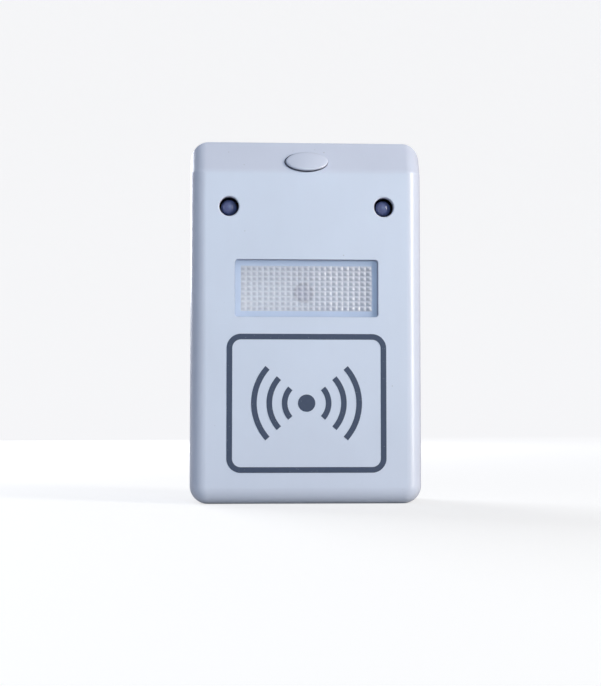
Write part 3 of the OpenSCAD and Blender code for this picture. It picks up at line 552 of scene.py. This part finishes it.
def cap_rings(seat, crown, skirt_y):
    """Rings of the cap: outwards over its crown, round the rolled rim and back along the skirt."""
    half_w, half_h = CAP_SIZE[0] / 2, CAP_SIZE[1] / 2
    crown_steps, rim_steps = 12, 6
    rings = []
    for i in range(1, crown_steps + 1):
        t = i / crown_steps
        rings.append(oval_ring(seat, t * (half_w - CAP_RIM_R), t * (half_h - CAP_RIM_R), crown))
    for i in range(1, rim_steps + 1):
        turn = i / rim_steps * math.pi / 2
        out = CAP_RIM_R * (math.sin(turn) - 1)
        back = CAP_RIM_R * (1 - math.cos(turn))

        def rolled(x, z, back=back):
            return crown(x, z) + back

        rings.append(oval_ring(seat, half_w + out, half_h + out, rolled))
    rings.append(oval_ring(seat, half_w, half_h, lambda x, z: skirt_y))
    return rings


def cap_ear(x0, x1, centre, front):
    """Flat ear from x0 to x1 that holds the cap behind the wall. front(z) is its face's depth."""
    half = CAP_SIZE[1] / 2 - 0.5 * MM
    corners = [(x0, -half), (x1, -half), (x1, half), (x0, half)]
    return loft([
        [(x, front(z) + depth, centre.z + z) for x, z in corners] for depth in (0, EAR_T)
    ])


def button_cap(material):
    """Oval cap with a domed crown and a rolled rim, its two ears and its stem.

    The cap lies a little to the right and up in its hole, while its stem is in the middle.
    """
    low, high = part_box("button_cap")
    front_low, front_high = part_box("front_cover")
    centre = Vector((0, 0, (low.z + high.z) / 2))
    seat = centre + Vector((0.17 * MM, 0, 0.13 * MM))
    slope = BEVEL_D / BEVEL_H
    lean = math.atan(slope)
    on_slope = front_low.y + (centre.z - (front_high.z - BEVEL_H)) * slope
    ball_y = on_slope - (CAP_PROUD - CAP_CROWN_R) * math.cos(lean)
    ball_z = (CAP_PROUD - CAP_CROWN_R) * math.sin(lean)

    def crown(x, z):
        return ball_y - math.sqrt(CAP_CROWN_R**2 - x**2 - (z - ball_z) ** 2)

    def behind_wall(z):
        return on_slope + z * slope + (WALL + EAR_GAP) / math.cos(lean)

    skirt_y = on_slope + WALL + CAP_SKIRT
    cap = loft(cap_rings(seat, crown, skirt_y))
    stem = lathe([(STEM_R, skirt_y - 0.5 * MM), (STEM_R, high.y)], centre, 32)
    root = CAP_SIZE[0] / 2 - 0.8 * MM
    left_ear = cap_ear(low.x, -root, centre, behind_wall)
    right_ear = cap_ear(root, high.x, centre, behind_wall)
    points, faces = join([cap, stem, left_ear, right_ear])
    piece = mesh_piece("cap_oval", points, faces, material, "button")
    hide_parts("button_cap")
    return piece


# ---- The lens ----


def prism_lines(start, end, pitch, count):
    """Grid positions across the plate: its two ends, and PRISM_STEPS steps to each prism."""
    steps = range(count * PRISM_STEPS + 1)
    return [start, *(start + LENS_BORDER + pitch * i / PRISM_STEPS for i in steps), end]


def prism_height(i, j, wide, tall):
    """Height of the field at point i, j of the grid: a four-sided pyramid per prism."""
    if i in (0, wide - 1) or j in (0, tall - 1):
        return 0.0
    u = abs(((i - 1) % PRISM_STEPS) / PRISM_STEPS - 0.5) * 2
    v = abs(((j - 1) % PRISM_STEPS) / PRISM_STEPS - 0.5) * 2
    return PRISM_H * (1 - max(u, v))


def prism_field(xs, zs, front_y):
    """Points and faces of the plate's front, whose prisms reach forward to front_y."""
    wide, tall = len(xs), len(zs)
    points = []
    for j, z in enumerate(zs):
        for i, x in enumerate(xs):
            points.append((x, front_y + PRISM_H - prism_height(i, j, wide, tall), z))
    faces = []
    for j in range(tall - 1):
        for i in range(wide - 1):
            k = j * wide + i
            faces.append((k, k + 1, k + wide + 1, k + wide))
    return points, faces


def rim_of(wide, tall):
    """Indices of the outermost points of a grid, in order round it."""
    rim = list(range(wide))
    rim += [j * wide + wide - 1 for j in range(1, tall)]
    rim += [(tall - 1) * wide + i for i in range(wide - 2, -1, -1)]
    rim += [j * wide for j in range(tall - 2, 0, -1)]
    return rim


def prism_lens():
    """Clear plate with a flat border round a field of small prisms, and the flange behind it."""
    low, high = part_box("night_light_lens")
    edge = LENS_FLANGE + LENS_GAP
    x0, x1 = low.x + edge, high.x - edge
    z0, z1 = low.z + edge, high.z - edge
    field = (x1 - x0 - 2 * LENS_BORDER, z1 - z0 - 2 * LENS_BORDER)
    pitch = (field[0] / PRISM_COLUMNS, field[1] / PRISM_ROWS)
    xs = prism_lines(x0, x1, pitch[0], PRISM_COLUMNS)
    zs = prism_lines(z0, z1, pitch[1], PRISM_ROWS)
    points, faces = prism_field(xs, zs, low.y)

    # The plate's sides run back from its rim to the flange.
    rim = rim_of(len(xs), len(zs))
    flange_y = high.y - LENS_FLANGE_T
    start = len(points)
    points += [(points[i][0], flange_y, points[i][2]) for i in rim]
    for n in range(len(rim)):
        m = (n + 1) % len(rim)
        faces.append((rim[n], rim[m], start + m, start + n))

    # The flange: four corners in front and four behind, joined to the plate side by side.
    corners = [(low.x, low.z), (high.x, low.z), (high.x, high.z), (low.x, high.z)]
    flange = len(points)
    points += [(x, y, z) for y in (flange_y, high.y) for x, z in corners]
    passed = 0
    for side, count in enumerate([len(xs) - 1, len(zs) - 1] * 2):
        strip = [start + (passed + n) % len(rim) for n in range(count + 1)]
        here, there = flange + side, flange + (side + 1) % 4
        faces.append((*strip, there, here))
        faces.append((here, there, there + 4, here + 4))
        passed += count
    faces.append(tuple(flange + 4 + i for i in range(4)))

    material = prism_acrylic((low + high) / 2, field, pitch)
    piece = mesh_piece("lens_prisms", points, faces, material, "case", smooth=False)
    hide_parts("night_light_lens")
    return piece


# ---- The lamps ----


def lamp_profile(low, high):
    """Outline of the clear body from back to tip, as (radius, y): rounded flange and dome."""
    flange_r = (high.x - low.x) / 2
    flange_y = high.y - LED_FLANGE_T
    dome_y = low.y + LED_R
    dome_steps = 16
    short_of_tip = 0.02
    profile = [
        (flange_r - LED_ROUNDING, high.y), (flange_r, high.y - LED_ROUNDING),
        (flange_r, flange_y + LED_ROUNDING), (flange_r - LED_ROUNDING, flange_y),
        (LED_R, flange_y),
    ]
    for i in range(dome_steps + 1):
        turn = i / dome_steps * (math.pi / 2 - short_of_tip)
        profile.append((LED_R * math.cos(turn), dome_y - LED_R * math.sin(turn)))
    return profile


def lamp_posts(centre, back_y):
    """Inside of a lamp: two posts, the bright cup on the left one, the wing on the right one."""
    half = 0.25 * MM
    wing = 0.75 * MM
    foot = back_y - 0.2 * MM
    cup_y = back_y - LED_CUP_DEPTH
    left = centre.x - LED_LEAD_PITCH / 2
    right = centre.x + LED_LEAD_PITCH / 2
    cup_outline = [
        (0.45 * MM, cup_y + 1.1 * MM), (1.0 * MM, cup_y + 0.8 * MM), (1.05 * MM, cup_y),
        (0.85 * MM, cup_y), (0.45 * MM, cup_y + 0.55 * MM),
    ]

    def bar(x0, x1, top, bottom):
        corner = Vector((x0, top, centre.z - half))
        return shell_block(corner, Vector((x1, bottom, centre.z + half)))

    return join([
        lathe(cup_outline, Vector((centre.x - 0.35 * MM, 0, centre.z)), 32),
        bar(left - half, left + half, cup_y + 1 * MM, foot),
        bar(right - half, right + half, cup_y + 0.3 * MM, foot),
        bar(right - wing, right + half, cup_y + 0.1 * MM, cup_y + 0.9 * MM),
        bar(left - half, centre.x, cup_y + 0.9 * MM, cup_y + 1.5 * MM),
    ])


def lamp(node, name, clear, inner):
    """Clear lamp with a flanged, domed body round its two inner posts and bright cup."""
    low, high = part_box(node)
    centre = (low + high) / 2
    points, faces = lathe(lamp_profile(low, high), centre)
    body = mesh_piece(name, points, faces, clear, "case")
    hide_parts(node)
    points, faces = lamp_posts(centre, high.y)
    posts = mesh_piece(name + "_posts", points, faces, inner, "case", smooth=False)
    return body


# ---- Materials of the CAD nodes ----


def paint(material, *names):
    """Gives CAD nodes a material."""
    for name in names:
        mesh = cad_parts[name].data
        mesh.materials.clear()
        mesh.materials.append(material)


white = case_plastic()
# Painted shade: the lamps are water-clear, and their dark navy body colour stands in for the shade
# inside their holes and behind the lens.
lamp_clear_shade_tint = clear_plastic("led_clear", (0.21, 0.24, 0.49), 0.06, 1.53, transmission_weight=0.45)
posts_steel = metal("lamp_posts", (0.16, 0.17, 0.22), 0.45, (1, 5, 1))
tinned = metal("tinned_steel", (0.62, 0.63, 0.65), 0.30, (1, 5, 1))
plated = metal("plated_screws", (0.58, 0.59, 0.61), 0.26, (4, 1, 1))
brass = metal("plug_brass", (0.92, 0.74, 0.38), 0.27, (1, 9, 1), (0.46, 0.30, 0.13))
thin_brass = metal("piezo_brass", (0.86, 0.66, 0.32), 0.22, (8, 1, 1), (0.42, 0.26, 0.11))
black = moulded("black_plastic", (0.022, 0.022, 0.025), 0.42, rim=3.0)
grey = moulded("grey_plastic", (0.13, 0.15, 0.17), 0.5)
nylon = moulded("nylon_natural", (0.66, 0.66, 0.60), 0.4, rim=1.15)
reflector = moulded("reflector_white", (0.84, 0.88, 0.95), 0.28, rim=1.05)
ROOT_LEADS = below(BOARD_FRONT - 0.02 * MM)

paint(white, "front_cover", "rear_cover")
paint(printing_ink(), "printed_emblem")
paint(label_paper(), "rating_label")
paint(reflector, "light_reflector")
paint(black, "switch_body", "sounder_housing")
paint(nylon, "switch_plunger", "led_spacers")
paint(grey, "blade_retainer", "coil_bobbin")
paint(tinned, "switch_spring", "switch_pins", "led_leads", "solder_joints")
paint(plated, "cover_screws", "board_screws", "retainer_screws")
paint(brass, "live_blade", "neutral_blade")
paint(thin_brass, "piezo_plate")
paint(sintered("piezo_ceramic", (0.62, 0.63, 0.62), 0.4), "piezo_ceramic")
paint(sintered("ferrite", (0.035, 0.035, 0.038), 0.55), "coil_core")
paint(board_laminate(), "circuit_board")
paint(copper_winding(), "coil_winding")
paint(stranded_insulation("wire_black", (0.018, 0.018, 0.02)), "live_wire")
paint(stranded_insulation("wire_white", (0.66, 0.66, 0.64)), "neutral_wire")
paint(stranded_insulation("wire_red", (0.40, 0.02, 0.015)), "sounder_wires")
paint(with_leads("film_yellow", (0.62, 0.36, 0.03), 0.3, ROOT_LEADS), "film_capacitor")
paint(with_leads("varistor_blue", (0.015, 0.07, 0.28), 0.3, ROOT_LEADS, glossy=0.4), "varistor")
paint(with_leads("fuse_brown", (0.10, 0.028, 0.018), 0.35, ROOT_LEADS), "fuse")
paint(with_leads("triac_black", (0.03, 0.03, 0.034), 0.45, ROOT_LEADS), "triac")
paint(
    with_leads("sleeve_blue", (0.016, 0.026, 0.10), 0.3, ROOT_LEADS, can_marks, 0.3),
    "electrolytic_capacitors",
)
paint(
    with_leads("chip_black", (0.025, 0.025, 0.028), 0.5, beyond_ends("timer_chip", 3.2 * MM)),
    "timer_chip",
)
paint(
    with_leads(
        "diode_black", (0.018, 0.018, 0.02), 0.32, beyond_ends("rectifier_diodes", 2.6 * MM),
        bands_at("rectifier_diodes", [(1.7 * MM, 0.35 * MM, (0.55, 0.56, 0.58))]),
    ),
    "rectifier_diodes",
)
RESISTOR_RINGS = [
    (-2.1 * MM, 0.28 * MM, (0.30, 0.09, 0.02)), (-1.0 * MM, 0.28 * MM, (0.012, 0.012, 0.012)),
    (0.1 * MM, 0.28 * MM, (0.48, 0.14, 0.01)), (2.0 * MM, 0.28 * MM, (0.55, 0.38, 0.10)),
]
paint(
    with_leads(
        "resistor_tan", (0.46, 0.33, 0.17), 0.4, beyond_ends("resistors", 3.15 * MM),
        bands_at("resistors", RESISTOR_RINGS), 0.2,
    ),
    "resistors",
)

button_cap(white)
prism_lens()
lamp("power_led", "lamp_left", lamp_clear_shade_tint, posts_steel)
lamp("pulse_led", "lamp_right", lamp_clear_shade_tint, posts_steel)
lamp("night_light_led", "lamp_night", lamp_clear_shade_tint, posts_steel)


# ---- Floor, light and camera ----


def floor_paper(z, reach):
    """Pale paper that glows for the camera only, so that floor and wall look alike.

    The wall lets the surrounding light through: only what lies near the ground at z stops it.
    """
    near_glow, far_glow = 0.58, 0.79
    look = Look("floor")
    paper = look.noise(0.3, 3)
    look.set(base_color=look.mix(paper, (0.40, 0.40, 0.40), (0.42, 0.42, 0.42)), roughness=0.9)
    seen = look.add("ShaderNodeLightPath").outputs["Is Camera Ray"]
    away = look.add("ShaderNodeVectorMath", {0: look.place}, operation="LENGTH").outputs["Value"]
    glow = look.span(away, 0.0, 0.6 * reach, near_glow, far_glow)
    look.set(emission_color=(1.0, 1.0, 1.0), emission_strength=look.calc("MULTIPLY", seen, glow))
    ground = look.span(look.axis("Z"), z + 0.30, z + 0.05)
    look.set(alpha=look.calc("MAXIMUM", seen, ground))
    return look.material


def studio_floor(z):
    """Round pale floor that rises smoothly into a wall all round, far from the object."""
    radius, reach, height = 0.8, 3.0, 3.0
    sides, bend_steps = 96, 12
    flat = reach - radius
    profile = [(flat, z)]
    for i in range(1, bend_steps + 1):
        turn = i / bend_steps * math.pi / 2
        profile.append((flat + radius * math.sin(turn), z + radius * (1 - math.cos(turn))))
    profile.append((reach, height))
    points = [(0, 0, z)]
    for out, up in profile:
        for i in range(sides):
            around = i / sides * 2 * math.pi
            points.append((out * math.cos(around), out * math.sin(around), up))
    faces = [(0, 1 + i, 1 + (i + 1) % sides) for i in range(sides)]
    for ring in range(len(profile) - 1):
        start = 1 + ring * sides
        for i in range(sides):
            j = (i + 1) % sides
            faces.append((start + i, start + sides + i, start + sides + j, start + j))
    mesh = bpy.data.meshes.new("floor")
    mesh.from_pydata(points, [], faces)
    mesh.shade_smooth()
    mesh.materials.append(floor_paper(z, reach))
    floor = bpy.data.objects.new("floor", mesh)
    bpy.context.scene.collection.objects.link(floor)


def softbox(name, place, target, size, power, colour=(1, 1, 1)):
    """Rectangular light at place that faces target."""
    light = bpy.data.lights.new(name, "AREA")
    light.shape = "RECTANGLE"
    light.size, light.size_y = size
    light.energy = power
    light.color = colour
    holder = bpy.data.objects.new(name, light)
    bpy.context.scene.collection.objects.link(holder)
    holder.location = place
    holder.rotation_mode = "QUATERNION"
    holder.rotation_quaternion = (Vector(target) - Vector(place)).to_track_quat("-Z", "Y")


def ambient(colour, strength):
    world = bpy.data.worlds.new("studio")
    world.use_nodes = True
    background = world.node_tree.nodes["Background"]
    background.inputs["Color"].default_value = (*colour, 1)
    background.inputs["Strength"].default_value = strength
    bpy.context.scene.world = world


def camera(face_centre):
    """The photograph's view: a little to the left of the object and a little below it."""
    left, below_level = math.radians(3.3), math.radians(4.2)
    distance = 0.42
    direction = Vector((
        -math.sin(left) * math.cos(below_level),
        -math.cos(left) * math.cos(below_level),
        -math.sin(below_level),
    ))
    lens = bpy.data.cameras.new("camera")
    lens.lens = 73.3
    lens.clip_start, lens.clip_end = 0.02, 50
    holder = bpy.data.objects.new("camera", lens)
    bpy.context.scene.collection.objects.link(holder)
    holder.location = face_centre + direction * distance
    aim = face_centre + Vector((-1.85 * MM, 0, -6.75 * MM))
    holder.rotation_mode = "QUATERNION"
    holder.rotation_quaternion = (aim - holder.location).to_track_quat("-Z", "Y")
    bpy.context.scene.camera = holder


low, high = cad_box
studio_floor(low.z)
centre = (low + high) / 2
softbox("key_right", (0.64, -0.50, 0.16), centre, (0.20, 0.60), 5.67, (1.0, 0.95, 0.84))
softbox("front_fill", (0.10, -1.40, 0.16), centre, (1.0, 0.9), 6.5, (0.52, 0.82, 1.0))
softbox("behind", (-0.7, 1.1, 0.45), centre, (0.9, 0.7), 15, (0.94, 0.97, 1.0))
ambient((0.86, 0.87, 1.0), 0.333)
face_low, face_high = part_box("front_cover")
camera(Vector((0, face_low.y, (face_low.z + face_high.z) / 2)))
bpy.context.scene.view_settings.view_transform = "Standard"
